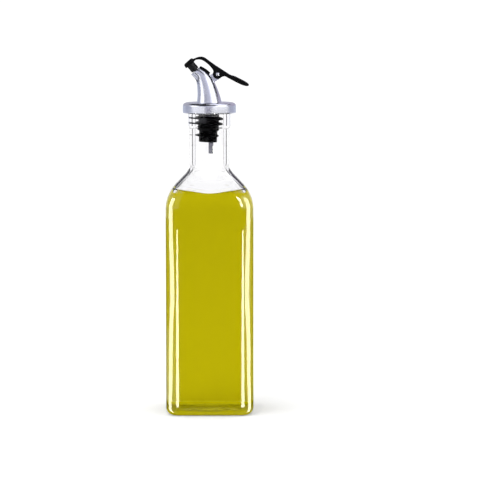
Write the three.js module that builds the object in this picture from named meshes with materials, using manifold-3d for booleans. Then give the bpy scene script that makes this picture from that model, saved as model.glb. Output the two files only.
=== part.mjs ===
// A square glass bottle of olive oil with a lever pourer: a silver spout on a collar, a black lever that lifts a
// rubber seal off the spout's mouth, and a ribbed rubber bung that holds the pourer in the bottle's neck.
// Millimetres, +Z up. The origin is the centre of the base. The mouth points to -X and the thumb end to +X.

import * as THREE from "three";
import { mergeVertices } from "three/addons/utils/BufferGeometryUtils.js";
import Module from "manifold-3d";

const wasm = await Module();
wasm.setup();

const GAP = 0.3; // between pieces that touch
const EIGHTH_TURN = Math.PI / 4;
const QUARTER_TURN = Math.PI / 2;

// Driving dimensions of the bottle, a 500 ml one.
const BODY_HALF_WIDTH = 31;
const BODY_CORNER = 9; // radius of the upright edges
const BODY_TOP = 146.9; // where the shoulder starts to curve in
const HEEL_RADIUS = 5.5;
const PUNT_RADIUS = 19; // the shallow hollow under the base
const PUNT_DEPTH = 2.8;
const SHOULDER_RADIUS = 24;
const NECK_RADIUS = 14.3;
const NECK_FILLET = 8;
const WALL = 3.4;
const FLOOR = 3.2;
const FLOOR_RISE = 2.4; // the inside of the floor follows the punt
const INNER_HEEL = 5;
const BORE_RADIUS = 10.6;
const BORE_FILLET = 16; // keeps the glass about as thick where the neck starts
const LIP_RADIUS = 14.9;
const LIP_BOTTOM = 203.9;
const LIP_TOP = 213.9;
const LIP_ROUNDING = 1.2;
const BOTTLE_SIDES = 36; // a multiple of four

const OIL_LEVEL = 158.5;

// The bung sits a little askew. Its ribs are [height of the middle, radius, thickness at the rim].
const BUNG_TILT = 2.6; // degrees, with the mouth's side up
const BUNG_SHIFT = -0.25; // towards the mouth's side
const BUNG_RADIUS = 7.4;
const BUNG_LOWER_RADIUS = 6.5;
const BUNG_STEP = 201.2; // where it grows narrower
const BUNG_BOTTOM = 192.9;
const BUNG_CUP_RADIUS = 4.8;
const BUNG_CUP_DEPTH = 2.4;
const BUNG_FLANGE_RADIUS = 14;
const BUNG_FLANGE_THICKNESS = 0.4;
const BUNG_LOWER_RIB = [197.5, 8.9, 0.7];
const BUNG_UPPER_RIBS = [
  [202.8, 7.9, 1.4],
  [206.0, 9.5, 1.0],
  [209.6, 9.8, 1.0],
];
const RIB_ROOT = 0.6; // how much thicker a rib is at its root, above and below
const BUNG_SIDES = 32;

const TUBE_RADIUS = 1.75;
const TUBE_BORE = 1.0;
const TUBE_OFFSET = 1.1; // towards the thumb end
const TUBE_BOTTOM = 184.6;
const TUBE_TOP = 200;

// The silver pourer.
const COLLAR_RADIUS = 18.9;
const COLLAR_BOTTOM = 213.2;
const COLLAR_TOP = 220.9;
const COLLAR_ROUNDING_WIDTH = 3.2;
const COLLAR_ROUNDING_HEIGHT = 1.9;
const COLLAR_RECESS_RADIUS = 15.6;
const COLLAR_RECESS_TOP = LIP_TOP + 2 * GAP + BUNG_FLANGE_THICKNESS;
const COLLAR_SIDES = 44;
const STEM_RADIUS = 4.6;
const STEM_BOTTOM = 201.5;
// The spout's sections from the collar to the mouth: [x, z, lean towards -X in degrees, radius].
const SPOUT_SECTIONS = [
  [0.05, 219.0, 0, 9.1],
  [-0.15, 222.2, 2, 8.6],
  [-0.6, 225.6, 6, 7.9],
  [-1.3, 229.0, 12, 7.25],
  [-2.3, 232.6, 20, 6.6],
  [-3.75, 236.5, 29, 5.75],
  [-6.0, 240.1, 37, 4.8],
  [-9.95, 243.3, 41, 4.0],
];
const SPOUT_SIDES = 28;
const MOUTH_BORE = 2.6;
const MOUTH_BORE_START = 0.62; // the share of the spout's run where the bore ends, blind

// The hinge, and the lever that turns on it. Lever outlines are measured from the hinge's axis.
const HINGE = new THREE.Vector3(5.9, 0, 241);
const LUG_THICKNESS = 3;
const LUG_RADIUS = 2.8;
const TRUNNION_RADIUS = 1.1;
const TRUNNION_HALF_LENGTH = 3.7;
const KNUCKLE_RADIUS = 3.35;
const SLOT_RADIUS = LUG_RADIUS + 0.45;
const SLOT_WIDTH = LUG_THICKNESS + 0.8;

// The seal and the hood stand on the mouth's own axis, and sit a little towards the spout's back.
const SEAL_SHIFT = 0.4;
const HOOD_RADIUS = 4.0;
const HOOD_RIM = 5.6; // heights above the mouth
const HOOD_TOP = 8.6;
const HOOD_ROUNDING = 1.4;
const SEAL_TOP = 6.6;
const SEAL_HEAD_RADIUS = 3.0;

const STRIP_WIDTH = 3.2;
const STRIP_THICKNESS = 0.9;
const STRIP_START = 0.78; // the share of the spout's run where the strip starts

const glass = new THREE.MeshStandardMaterial({
  color: 0xf1f1fa,
  roughness: 0.05,
  metalness: 0,
  transparent: true,
  opacity: 0.35,
});
const oliveOil = new THREE.MeshStandardMaterial({ color: 0xb5aa00, roughness: 0.1, metalness: 0 });
const silver = new THREE.MeshStandardMaterial({ color: 0xc4c6d2, roughness: 0.3, metalness: 0.9 });
const blackPlastic = new THREE.MeshStandardMaterial({ color: 0x0b0b0d, roughness: 0.35, metalness: 0 });
const blackRubber = new THREE.MeshStandardMaterial({ color: 0x0d0d0f, roughness: 0.6, metalness: 0 });
const greyPlastic = new THREE.MeshStandardMaterial({ color: 0x7c7b88, roughness: 0.4, metalness: 0 });

// The solid that a closed geometry bounds.
function solidOf(geometry) {
  const bare = geometry.clone();
  bare.deleteAttribute("normal");
  bare.deleteAttribute("uv");
  const merged = mergeVertices(bare, 1e-4);
  return new wasm.Manifold(
    new wasm.Mesh({
      numProp: 3,
      vertProperties: merged.getAttribute("position").array,
      triVerts: new Uint32Array(merged.getIndex().array),
    }),
  );
}

function geometryOf(solid) {
  const mesh = solid.getMesh();
  const geometry = new THREE.BufferGeometry();
  geometry.setAttribute("position", new THREE.BufferAttribute(mesh.vertProperties, 3));
  geometry.setIndex(new THREE.BufferAttribute(mesh.triVerts, 1));
  const flat = geometry.toNonIndexed();
  flat.computeVertexNormals();
  return flat;
}

function named(name, geometry, material) {
  const mesh = new THREE.Mesh(geometry, material);
  mesh.name = name;
  return mesh;
}

// Points of an arc, [radius, height], from one angle to another, in steps.
function arc(centreRadius, centreHeight, radius, from, to, steps) {
  return Array.from({ length: steps + 1 }, (_, i) => {
    const angle = from + ((to - from) * i) / steps;
    return [centreRadius + radius * Math.cos(angle), centreHeight + radius * Math.sin(angle)];
  });
}

// A solid turned about Z from an outline of [radius, height].
function turned(outline, sides) {
  const points = outline.map(([radius, height]) => new THREE.Vector2(radius, height));
  return new THREE.LatheGeometry(points, sides).rotateX(QUARTER_TURN);
}

// Rounded squares stacked along Z. Each section is [half width, height, corner radius], and it is a circle where the
// corner radius is the half width.
function stackedSquares(sections, sides) {
  const points = sections.map(([halfWidth, height]) => new THREE.Vector2(halfWidth, height));
  const start = Math.PI / sides;
  const geometry = new THREE.LatheGeometry(points, sides, start);
  const position = geometry.getAttribute("position");
  for (let i = 0; i <= sides; i++) {
    const angle = start + (i / sides) * 2 * Math.PI;
    const [sine, cosine] = [Math.sin(angle), Math.cos(angle)];
    sections.forEach(([halfWidth, height, corner], j) => {
      const flat = halfWidth - corner;
      const x = flat * Math.sign(sine) + corner * sine;
      const y = flat * Math.sign(cosine) + corner * cosine;
      position.setXYZ(i * sections.length + j, x, height, y);
    });
  }
  return geometry.rotateX(QUARTER_TURN);
}

// The corner radius on the way from a square body to a round neck.
function cornerOf(halfWidth, bodyHalfWidth, bodyCorner, neckRadius) {
  const share = THREE.MathUtils.clamp((bodyHalfWidth - halfWidth) / (bodyHalfWidth - neckRadius), 0, 1);
  return THREE.MathUtils.lerp(bodyCorner, neckRadius, share);
}

// The shoulder from the top of the body to the neck: a convex arc, a cone at 45 degrees and a hollow arc.
function shoulder(inset, neckRadius, fillet) {
  const bodyHalfWidth = BODY_HALF_WIDTH - inset;
  const radius = SHOULDER_RADIUS - inset;
  const bodyCorner = BODY_CORNER - inset;
  const centre = BODY_HALF_WIDTH - SHOULDER_RADIUS;
  const convex = arc(centre, BODY_TOP, radius, 0, EIGHTH_TURN, 7);
  const [coneRadius, coneHeight] = convex.at(-1);
  const filletStart = neckRadius + fillet * (1 - Math.cos(EIGHTH_TURN));
  const neckBottom = coneHeight + coneRadius - filletStart + fillet * Math.sin(EIGHTH_TURN);
  const hollow = arc(neckRadius + fillet, neckBottom, fillet, Math.PI + EIGHTH_TURN, Math.PI, 4);
  return [...convex, ...hollow].map(([halfWidth, height]) => [
    halfWidth,
    height,
    cornerOf(halfWidth, bodyHalfWidth, bodyCorner, neckRadius),
  ]);
}

// The rounded foot of a wall, from the floor out and up to the upright face.
function foot(halfWidth, floorHeight, corner, radius) {
  return arc(halfWidth - radius, floorHeight + radius, radius, -QUARTER_TURN, 0, 4).map(([x, height]) => [
    x,
    height,
    corner - (halfWidth - x),
  ]);
}

function round([radius, height]) {
  return [radius, height, radius];
}

function makeBottle() {
  const base = [0, PUNT_RADIUS / 2, PUNT_RADIUS].map((radius) =>
    round([radius, PUNT_DEPTH * (1 - (radius / PUNT_RADIUS) ** 2)]),
  );
  const lip = [
    [NECK_RADIUS, LIP_BOTTOM - LIP_ROUNDING],
    [LIP_RADIUS - 0.15, LIP_BOTTOM - LIP_ROUNDING / 2],
    [LIP_RADIUS, LIP_BOTTOM],
    ...arc(LIP_RADIUS - LIP_ROUNDING, LIP_TOP - LIP_ROUNDING, LIP_ROUNDING, 0, QUARTER_TURN, 3),
    ...arc(BORE_RADIUS + LIP_ROUNDING, LIP_TOP - LIP_ROUNDING, LIP_ROUNDING, QUARTER_TURN, Math.PI, 3),
  ].map(round);
  const inside = [
    [0, FLOOR + FLOOR_RISE, 0],
    round([PUNT_RADIUS / 2, FLOOR + FLOOR_RISE * 0.75]),
    ...foot(BODY_HALF_WIDTH - WALL, FLOOR, BODY_CORNER - WALL, INNER_HEEL),
    ...shoulder(WALL, BORE_RADIUS, BORE_FILLET),
  ].reverse();
  const outside = foot(BODY_HALF_WIDTH, 0, BODY_CORNER, HEEL_RADIUS);
  const sections = [...base, ...outside, ...shoulder(0, NECK_RADIUS, NECK_FILLET), ...lip, ...inside];
  return named("bottle", stackedSquares(sections, BOTTLE_SIDES), glass);
}

function makeOil() {
  const inset = WALL + GAP;
  const halfWidth = BODY_HALF_WIDTH - inset;
  const radius = SHOULDER_RADIUS - inset;
  const highest = Math.asin((OIL_LEVEL - BODY_TOP) / radius);
  const top = arc(BODY_HALF_WIDTH - SHOULDER_RADIUS, BODY_TOP, radius, 0, highest, 4).map(([x, height]) => [
    x,
    height,
    cornerOf(x, halfWidth, BODY_CORNER - inset, BORE_RADIUS),
  ]);
  const sections = [
    [0, FLOOR + FLOOR_RISE + GAP, 0],
    round([PUNT_RADIUS / 2, FLOOR + FLOOR_RISE * 0.75 + GAP]),
    ...foot(halfWidth, FLOOR + GAP, BODY_CORNER - inset, INNER_HEEL - GAP),
    ...top,
    [0, OIL_LEVEL, 0],
  ];
  return named("oil", stackedSquares(sections, BOTTLE_SIDES), oliveOil);
}

// An upright round bar between two heights.
function upright(radius, bottom, top, sides) {
  return new THREE.CylinderGeometry(radius, radius, top - bottom, sides)
    .rotateX(QUARTER_TURN)
    .translate(0, 0, (bottom + top) / 2);
}

function ribOutline([height, radius, thickness], rootRadius) {
  return [
    [rootRadius, height - thickness / 2 - RIB_ROOT],
    [radius, height - thickness / 2],
    [radius, height + thickness / 2],
    [rootRadius, height + thickness / 2 + RIB_ROOT],
  ];
}

function makeBung() {
  const flangeBottom = LIP_TOP + GAP;
  const flangeTop = flangeBottom + BUNG_FLANGE_THICKNESS;
  const cupTop = BUNG_BOTTOM + BUNG_CUP_DEPTH;
  const body = [
    [0, cupTop],
    [BUNG_CUP_RADIUS, cupTop],
    [BUNG_CUP_RADIUS + 0.3, BUNG_BOTTOM],
    [BUNG_LOWER_RADIUS - 0.8, BUNG_BOTTOM],
    [BUNG_LOWER_RADIUS, BUNG_BOTTOM + 0.8],
    ...ribOutline(BUNG_LOWER_RIB, BUNG_LOWER_RADIUS),
    [BUNG_LOWER_RADIUS, BUNG_STEP - 0.4],
    [BUNG_RADIUS, BUNG_STEP],
    ...BUNG_UPPER_RIBS.flatMap((rib) => ribOutline(rib, BUNG_RADIUS)),
    [BUNG_RADIUS, flangeBottom],
    [0, flangeBottom],
  ];
  const askew = turned(body, BUNG_SIDES)
    .translate(0, 0, -LIP_TOP)
    .rotateY(THREE.MathUtils.degToRad(BUNG_TILT))
    .translate(BUNG_SHIFT, 0, LIP_TOP);
  const tubeHole = upright(TUBE_RADIUS + GAP, BUNG_BOTTOM - 1, TUBE_TOP + GAP, 20).translate(TUBE_OFFSET, 0, 0);
  const bung = solidOf(askew)
    .add(solidOf(upright(BUNG_FLANGE_RADIUS, flangeBottom - 0.2, flangeTop, BUNG_SIDES)))
    .subtract(solidOf(upright(STEM_RADIUS + GAP, STEM_BOTTOM - GAP, flangeTop + 1, 24)))
    .subtract(solidOf(tubeHole));
  return named("bung", geometryOf(bung), blackRubber);
}

function makeTube() {
  const rim = (TUBE_RADIUS - TUBE_BORE) / 2;
  const outline = [
    ...arc(TUBE_BORE + rim, TUBE_BOTTOM + rim, rim, Math.PI, 2 * Math.PI, 5),
    [TUBE_RADIUS, TUBE_TOP],
    [TUBE_BORE, TUBE_TOP],
  ];
  const closed = [...outline, outline[0]];
  const tube = named("breather_tube", turned(closed, 20), greyPlastic);
  tube.position.x = TUBE_OFFSET;
  return tube;
}

const spoutCentres = new THREE.CatmullRomCurve3(
  SPOUT_SECTIONS.map(([x, z]) => new THREE.Vector3(x, 0, z)),
  false,
  "catmullrom",
);
const spoutForms = new THREE.CatmullRomCurve3(
  SPOUT_SECTIONS.map(([, , lean, radius]) => new THREE.Vector3(THREE.MathUtils.degToRad(lean), radius, 0)),
  false,
  "catmullrom",
);

// The spout's section at a share of its run: its centre, the way its back faces, the way it runs, and its radius.
function spoutAt(share) {
  const { x: lean, y: radius } = spoutForms.getPoint(share);
  return {
    centre: spoutCentres.getPoint(share),
    back: new THREE.Vector3(Math.cos(lean), 0, Math.sin(lean)),
    along: new THREE.Vector3(-Math.sin(lean), 0, Math.cos(lean)),
    radius,
  };
}

// A round solid that follows the spout's run between two shares of it, with its ends moved on by a little.
function alongSpout(from, to, radiusAt, steps, overrun = 0) {
  const geometry = new THREE.CylinderGeometry(1, 1, 1, SPOUT_SIDES, steps).rotateX(QUARTER_TURN);
  const position = geometry.getAttribute("position");
  const point = new THREE.Vector3();
  for (let i = 0; i < position.count; i++) {
    point.fromBufferAttribute(position, i);
    const height = Math.round((point.z + 0.5) * steps) / steps;
    const section = spoutAt(THREE.MathUtils.lerp(from, to, height));
    const radius = radiusAt(section);
    const placed = section.centre
      .clone()
      .addScaledVector(section.back, point.x * radius)
      .addScaledVector(section.along, height === 1 ? overrun : 0);
    position.setXYZ(i, placed.x, placed.y + point.y * radius, placed.z);
  }
  return geometry;
}

// A plate in the XZ plane, centred on Y = 0.
function plate(shape, thickness) {
  return new THREE.ExtrudeGeometry(shape, { depth: thickness, bevelEnabled: false, curveSegments: 10 })
    .translate(0, 0, -thickness / 2)
    .rotateX(QUARTER_TURN);
}

// A round bar across the hinge, along Y.
function hingeBar(radius, halfLength, sides) {
  return new THREE.CylinderGeometry(radius, radius, 2 * halfLength, sides);
}

function collarOutline() {
  return [
    [0, COLLAR_RECESS_TOP],
    [COLLAR_RECESS_RADIUS, COLLAR_RECESS_TOP],
    [COLLAR_RECESS_RADIUS, COLLAR_BOTTOM],
    [COLLAR_RADIUS - 0.4, COLLAR_BOTTOM],
    [COLLAR_RADIUS, COLLAR_BOTTOM + 0.4],
    ...arc(0, 0, 1, 0, QUARTER_TURN, 6).map(([across, up]) => [
      COLLAR_RADIUS + COLLAR_ROUNDING_WIDTH * (across - 1),
      COLLAR_TOP + COLLAR_ROUNDING_HEIGHT * (up - 1),
    ]),
    [0, COLLAR_TOP + 0.3],
  ];
}

// The bracket that carries the hinge: a disc round the axis, and a web down to the spout's back.
function lugShape() {
  const shape = new THREE.Shape();
  shape.moveTo(-6.4, -0.7);
  shape.lineTo(-4.6, -0.5);
  shape.lineTo(-2.64, 0.93);
  shape.absarc(0, 0, LUG_RADIUS, 2.803, -0.55, true);
  shape.quadraticCurveTo(2.3, -3.4, 0.4, -4.0);
  shape.lineTo(-3.2, -6.4);
  shape.closePath();
  return shape;
}

function makePourer() {
  const stem = upright(STEM_RADIUS, STEM_BOTTOM, COLLAR_RECESS_TOP + 1, 24);
  const atHinge = (geometry) => solidOf(geometry.translate(HINGE.x, HINGE.y, HINGE.z));
  const bore = alongSpout(MOUTH_BORE_START, 1, () => MOUTH_BORE, 6, 1);
  const solid = solidOf(turned(collarOutline(), COLLAR_SIDES))
    .add(solidOf(stem))
    .add(solidOf(alongSpout(0, 1, (section) => section.radius, 14)))
    .add(atHinge(plate(lugShape(), LUG_THICKNESS)))
    .add(atHinge(hingeBar(TRUNNION_RADIUS, TRUNNION_HALF_LENGTH, 20)))
    .subtract(solidOf(bore));
  return named("pourer", geometryOf(solid), silver);
}

// A black strip on the spout's back, from the hinge's bracket to the mouth.
function makeBackStrip() {
  const steps = 8;
  const edge = (height) =>
    Array.from({ length: steps + 1 }, (_, i) => {
      const section = spoutAt(THREE.MathUtils.lerp(STRIP_START, 1, i / steps));
      const point = section.centre.clone().addScaledVector(section.back, section.radius + height);
      return new THREE.Vector2(point.x, point.z);
    });
  const shape = new THREE.Shape([...edge(GAP), ...edge(GAP + STRIP_THICKNESS).reverse()]);
  return named("back_strip", plate(shape, STRIP_WIDTH), blackPlastic);
}

// The lever's side outline, from the hood over the arch to the thumb end, and back under the arm and the knuckle.
function leverShape() {
  const shape = new THREE.Shape();
  const through = (points) => shape.splineThru(points.map(([x, z]) => new THREE.Vector2(x, z)));
  shape.moveTo(-19.4, 8.6);
  through([
    [-18.0, 10.2],
    [-15.8, 11.3],
    [-12.7, 12.3],
    [-9.5, 11.8],
    [-5.5, 9.0],
    [-1.3, 6.0],
  ]);
  shape.lineTo(9.4, -0.9);
  shape.lineTo(12.1, -1.5);
  shape.lineTo(19.6, -5.3);
  shape.lineTo(22.0, -6.9);
  shape.quadraticCurveTo(22.9, -8.2, 20.8, -8.6);
  shape.quadraticCurveTo(17.5, -7.9, 13.4, -5.8);
  shape.lineTo(7.5, -2.7);
  shape.quadraticCurveTo(4.6, -0.4, 2.6, -2.11);
  shape.absarc(0, 0, KNUCKLE_RADIUS, -0.68, -3.66, true);
  through([
    [-3.3, 3.0],
    [-4.6, 4.8],
    [-7.0, 7.3],
    [-10.6, 9.8],
    [-13.6, 10.4],
    [-16.4, 9.6],
    [-18.6, 7.2],
  ]);
  shape.closePath();
  return shape;
}

// The lever seen from above: a round front, a slim arch, full width at the knuckle and a broad thumb end.
function leverPlan() {
  const side = [
    [-21.5, 2.4],
    [-17, 2.5],
    [-11, 2.5],
    [-5, 3.0],
    [-3.2, 3.5],
    [4, 3.5],
    [7, 3.5],
    [11, 4.3],
    [19, 4.3],
    [22.5, 3.0],
  ];
  const points = [...side, ...side.map(([x, y]) => [x, -y]).reverse()];
  const shape = new THREE.Shape(points.map(([x, y]) => new THREE.Vector2(x, y)));
  const height = 60;
  return new THREE.ExtrudeGeometry(shape, { depth: height, bevelEnabled: false }).translate(0, 0, -height / 2);
}

// The slot between the lever's cheeks: a disc round the hinge, open towards the spout for the whole of its swing.
function slotShape() {
  const shape = new THREE.Shape();
  const reach = 9;
  shape.moveTo(-reach, 1.9);
  shape.lineTo(-2.6, 1.95);
  shape.absarc(0, 0, SLOT_RADIUS, 2.498, 0, true);
  shape.lineTo(4.8, -3.3);
  shape.lineTo(3, -reach);
  shape.lineTo(-reach, -reach);
  shape.closePath();
  return shape;
}

// Places a shape that was turned about the mouth's own axis on the mouth, in the lever's frame.
function onMouth(geometry) {
  const mouth = spoutAt(1);
  const lean = Math.atan2(-mouth.along.x, mouth.along.z);
  const centre = mouth.centre.clone().addScaledVector(mouth.back, SEAL_SHIFT).sub(HINGE);
  return geometry.rotateY(-lean).translate(centre.x, centre.y, centre.z);
}

function makeLever() {
  const hood = [
    [0, HOOD_RIM],
    [HOOD_RADIUS + 0.15, HOOD_RIM],
    [HOOD_RADIUS + 0.15, HOOD_RIM + 0.7],
    ...arc(HOOD_RADIUS - HOOD_ROUNDING, HOOD_TOP - HOOD_ROUNDING, HOOD_ROUNDING, 0, QUARTER_TURN, 4),
    [0, HOOD_TOP],
  ];
  const socket = [
    [0, HOOD_RIM - 1],
    [SEAL_HEAD_RADIUS + GAP, HOOD_RIM - 1],
    [SEAL_HEAD_RADIUS + GAP, SEAL_TOP + GAP],
    [0, SEAL_TOP + GAP],
  ];
  const solid = solidOf(plate(leverShape(), 9))
    .intersect(solidOf(leverPlan()))
    .subtract(solidOf(plate(slotShape(), SLOT_WIDTH)))
    .subtract(solidOf(hingeBar(TRUNNION_RADIUS + GAP, 6, 20)))
    .add(solidOf(onMouth(turned(hood, 28))))
    .subtract(solidOf(onMouth(turned(socket, 24))));
  return named("lever", geometryOf(solid), blackPlastic);
}

// The rubber seal: a nub, a skirt that closes the mouth, a groove and the head that the hood holds.
function makeSeal() {
  const outline = [
    [0, -0.1],
    [1.2, -0.1],
    [1.5, GAP],
    [2.7, GAP],
    [3.0, 0.8],
    [3.05, 2.7],
    [2.7, 3.2],
    [2.7, 3.7],
    [SEAL_HEAD_RADIUS - 0.1, 4.3],
    [SEAL_HEAD_RADIUS, 5.2],
    [SEAL_HEAD_RADIUS, SEAL_TOP],
    [0, SEAL_TOP],
  ];
  return named("mouth_seal", onMouth(turned(outline, 28)), blackRubber);
}

const leverGroup = new THREE.Group();
leverGroup.position.copy(HINGE);
leverGroup.add(makeLever(), makeSeal());

const dispenser = new THREE.Group();
dispenser.add(
  makeBottle(),
  makeOil(),
  makeBung(),
  makeTube(),
  makePourer(),
  makeBackStrip(),
  leverGroup,
);

export default dispenser;
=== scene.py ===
"""The looks of a square glass bottle of olive oil with a lever pourer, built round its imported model.

Sizes are in millimetres until a mesh is made. The mouth of the spout points to -X, the lever's thumb end
to +X, and the camera looks along +Y.
"""

import logging
import math
from abc import ABC, abstractmethod
from collections.abc import Iterable, Sequence
from dataclasses import dataclass
from enum import Enum

import bmesh
import bpy
from mathutils import Matrix, Vector


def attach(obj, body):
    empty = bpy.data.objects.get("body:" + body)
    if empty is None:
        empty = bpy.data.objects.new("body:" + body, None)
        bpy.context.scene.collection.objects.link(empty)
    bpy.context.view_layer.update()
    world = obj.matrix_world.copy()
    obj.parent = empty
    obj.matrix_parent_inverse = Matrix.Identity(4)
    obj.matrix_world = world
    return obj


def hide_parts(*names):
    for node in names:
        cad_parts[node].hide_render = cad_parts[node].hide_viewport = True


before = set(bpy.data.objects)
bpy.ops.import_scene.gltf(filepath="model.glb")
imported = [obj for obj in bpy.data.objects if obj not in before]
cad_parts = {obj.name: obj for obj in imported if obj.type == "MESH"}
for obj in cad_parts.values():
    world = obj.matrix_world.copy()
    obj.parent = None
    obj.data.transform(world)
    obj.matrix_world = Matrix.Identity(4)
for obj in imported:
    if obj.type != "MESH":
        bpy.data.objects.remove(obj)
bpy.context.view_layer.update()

LOG = logging.getLogger("dispenser")
MM = 0.001
FULL_TURN = 2 * math.pi
QUARTER_TURN = math.pi / 2
EIGHTH_TURN = math.pi / 4
WHITE = "#FFFFFF"
BLACK = "#000000"
# How wetted each point of the glass and the oil is. A wetted surface has no shine of its own.
WETTED = "wetted"
# Where most values of a noise lie.
NOISE_LOW, NOISE_HIGH = 0.3, 0.7
# In millimetres: a ring narrower than this is one point, and points nearer than this are joined.
LEAST_RADIUS = 1e-6
WELD = 1e-5
# The most of a side's length that the rounding at one of its ends takes, and the rounding's steps.
SIDE_SHARE = 0.45
ROUNDING_STEPS = 4
# The least angle of an edge that is rounded, in degrees.
EDGE_ANGLE = 30.0

Point = tuple[float, float]
Pair = tuple[float, float]
Place = tuple[float, float, float]
Section = tuple[float, ...]
Ring = list[Vector]


class Body(Enum):
    """The rigid bodies that pieces ride on."""

    DISPENSER = "dispenser"
    LEVER = "lever"


class Slot(Enum):
    """The material slots that the pieces carry."""

    GLASS = "clear_glass"
    OIL = "olive_oil"
    RUBBER = "black_rubber"
    TUBE = "grey_plastic"
    SILVER = "silver_plastic"
    BLACK = "black_plastic"


def linear(colour: str) -> tuple[float, float, float, float]:
    """Turns an sRGB hex colour to linear.

    Args:
        colour: The colour, such as "#B5AA00".

    Returns:
        Its linear red, green and blue, and an alpha of 1.
    """
    shares = [int(colour[i : i + 2], 16) / 255 for i in (1, 3, 5)]
    red, green, blue = (s / 12.92 if s <= 0.04045 else ((s + 0.055) / 1.055) ** 2.4 for s in shares)
    return red, green, blue, 1.0


def add_node(
    tree: bpy.types.NodeTree,
    kind: str,
    inputs: dict[str | int, object] | None = None,
    **attributes: object,
) -> bpy.types.Node:
    """Adds a node with its settings and links.

    Args:
        tree: The node tree that it joins.
        kind: The node's type.
        inputs: A value, or the socket that feeds it, for each input's name or number.
        **attributes: The node's own attributes.

    Returns:
        The new node.
    """
    made = tree.nodes.new(kind)
    for name, value in attributes.items():
        setattr(made, name, value)
    for key, value in (inputs or {}).items():
        if isinstance(value, bpy.types.NodeSocket):
            tree.links.new(value, made.inputs[key])
        else:
            made.inputs[key].default_value = value
    return made


@dataclass(frozen=True)
class Nodes:
    """The parts of a material that a finish adds to. The place is a point's own, in metres."""

    tree: bpy.types.NodeTree
    place: bpy.types.NodeSocket
    shader: bpy.types.Node
    output: bpy.types.Node

    def feed(self, name: str, source: bpy.types.NodeSocket) -> None:
        """Feeds the shader's input of that name."""
        self.tree.links.new(source, self.shader.inputs[name])


@dataclass(frozen=True)
class Finish(ABC):
    """What a piece is made of, and how its surface was made."""

    name: str
    colour: str
    roughness: float

    def material(self) -> bpy.types.Material:
        """Makes the finish's material, or finds it where it was made before.

        Returns:
            The material.
        """
        known = bpy.data.materials.get(self.name)
        if known:
            return known
        made = bpy.data.materials.new(self.name)
        made.use_nodes = True
        tree = made.node_tree
        tree.nodes.clear()
        place = add_node(tree, "ShaderNodeTexCoord").outputs["Object"]
        base = {"Base Color": linear(self.colour), "Roughness": self.roughness}
        shader = add_node(tree, "ShaderNodeBsdfPrincipled", base)
        output = add_node(tree, "ShaderNodeOutputMaterial", {"Surface": shader.outputs[0]})
        self.dress(Nodes(tree, place, shader, output))
        return made

    @abstractmethod
    def dress(self, nodes: Nodes) -> None:
        """Gives the shader what this finish shows.

        Args:
            nodes: The material's nodes.
        """


@dataclass(frozen=True)
class Clear(Finish):
    """Something clear: its colour lies in its depth, and a wetted surface has no shine of its own."""

    ior: float
    # What white light turns to on its way through this depth.
    depth_colour: str
    depth_mm: float

    def dress(self, nodes: Nodes) -> None:
        """Lets light through, colours the depth and takes the shine off what is wetted.

        Args:
            nodes: The material's nodes.
        """
        tree = nodes.tree
        nodes.shader.inputs["Transmission Weight"].default_value = 1.0
        nodes.shader.inputs["IOR"].default_value = self.ior
        wetted = add_node(tree, "ShaderNodeAttribute", attribute_name=WETTED)
        tints = {0: wetted.outputs["Fac"], 6: linear(WHITE), 7: linear(BLACK)}
        shine = add_node(tree, "ShaderNodeMix", tints, data_type="RGBA")
        nodes.feed("Specular Tint", shine.outputs[2])
        absorbed = [-math.log(share) / (self.depth_mm * MM) for share in linear(self.depth_colour)[:3]]
        density = max(absorbed)
        cast = {"Color": (*(1 - each / density for each in absorbed), 1.0), "Density": density}
        depth = add_node(tree, "ShaderNodeVolumeAbsorption", cast)
        tree.links.new(depth.outputs[0], nodes.output.inputs["Volume"])


@dataclass(frozen=True)
class PressedGlass(Clear):
    """Soda-lime glass, blown in a mould and fire polished: bright and faintly wavy."""

    # The waves of a blown wall are 20 to 30 mm long and a few thousandths of a millimetre high.
    wave_mm: float = 24.0
    wave_height_mm: float = 0.003

    def dress(self, nodes: Nodes) -> None:
        """Adds the mould's faint waves.

        Args:
            nodes: The material's nodes.
        """
        super().dress(nodes)
        noise = {"Vector": nodes.place, "Scale": 1 / (self.wave_mm * MM), "Detail": 1.0}
        waves = add_node(nodes.tree, "ShaderNodeTexNoise", noise)
        relief = {"Height": waves.outputs[0], "Strength": 1.0, "Distance": self.wave_height_mm * MM}
        nodes.feed("Normal", add_node(nodes.tree, "ShaderNodeBump", relief).outputs[0])


@dataclass(frozen=True)
class PressedOil(Clear):
    """Clear pressed oil, whose colour deepens with its thickness."""

    # Slow swirls in the oil are nearly as wide as the bottle.
    cloud_mm: float = 40.0
    cloud_colour: str = "#FFFEF4"

    def dress(self, nodes: Nodes) -> None:
        """Makes the free surface on top a mirror, and adds faint clouds.

        Args:
            nodes: The material's nodes.
        """
        super().dress(nodes)
        tree = nodes.tree
        wetted = add_node(tree, "ShaderNodeAttribute", attribute_name=WETTED)
        free = {0: 1.0, 1: wetted.outputs["Fac"]}
        mirror = add_node(tree, "ShaderNodeMath", free, operation="SUBTRACT")
        nodes.feed("Metallic", mirror.outputs[0])
        noise = {"Vector": nodes.place, "Scale": 1 / (self.cloud_mm * MM), "Detail": 2.0}
        clouds = add_node(tree, "ShaderNodeTexNoise", noise)
        tints = {0: clouds.outputs[0], 6: linear(self.colour), 7: linear(self.cloud_colour)}
        tint = add_node(tree, "ShaderNodeMix", tints, data_type="RGBA")
        nodes.feed("Base Color", tint.outputs[2])


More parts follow.
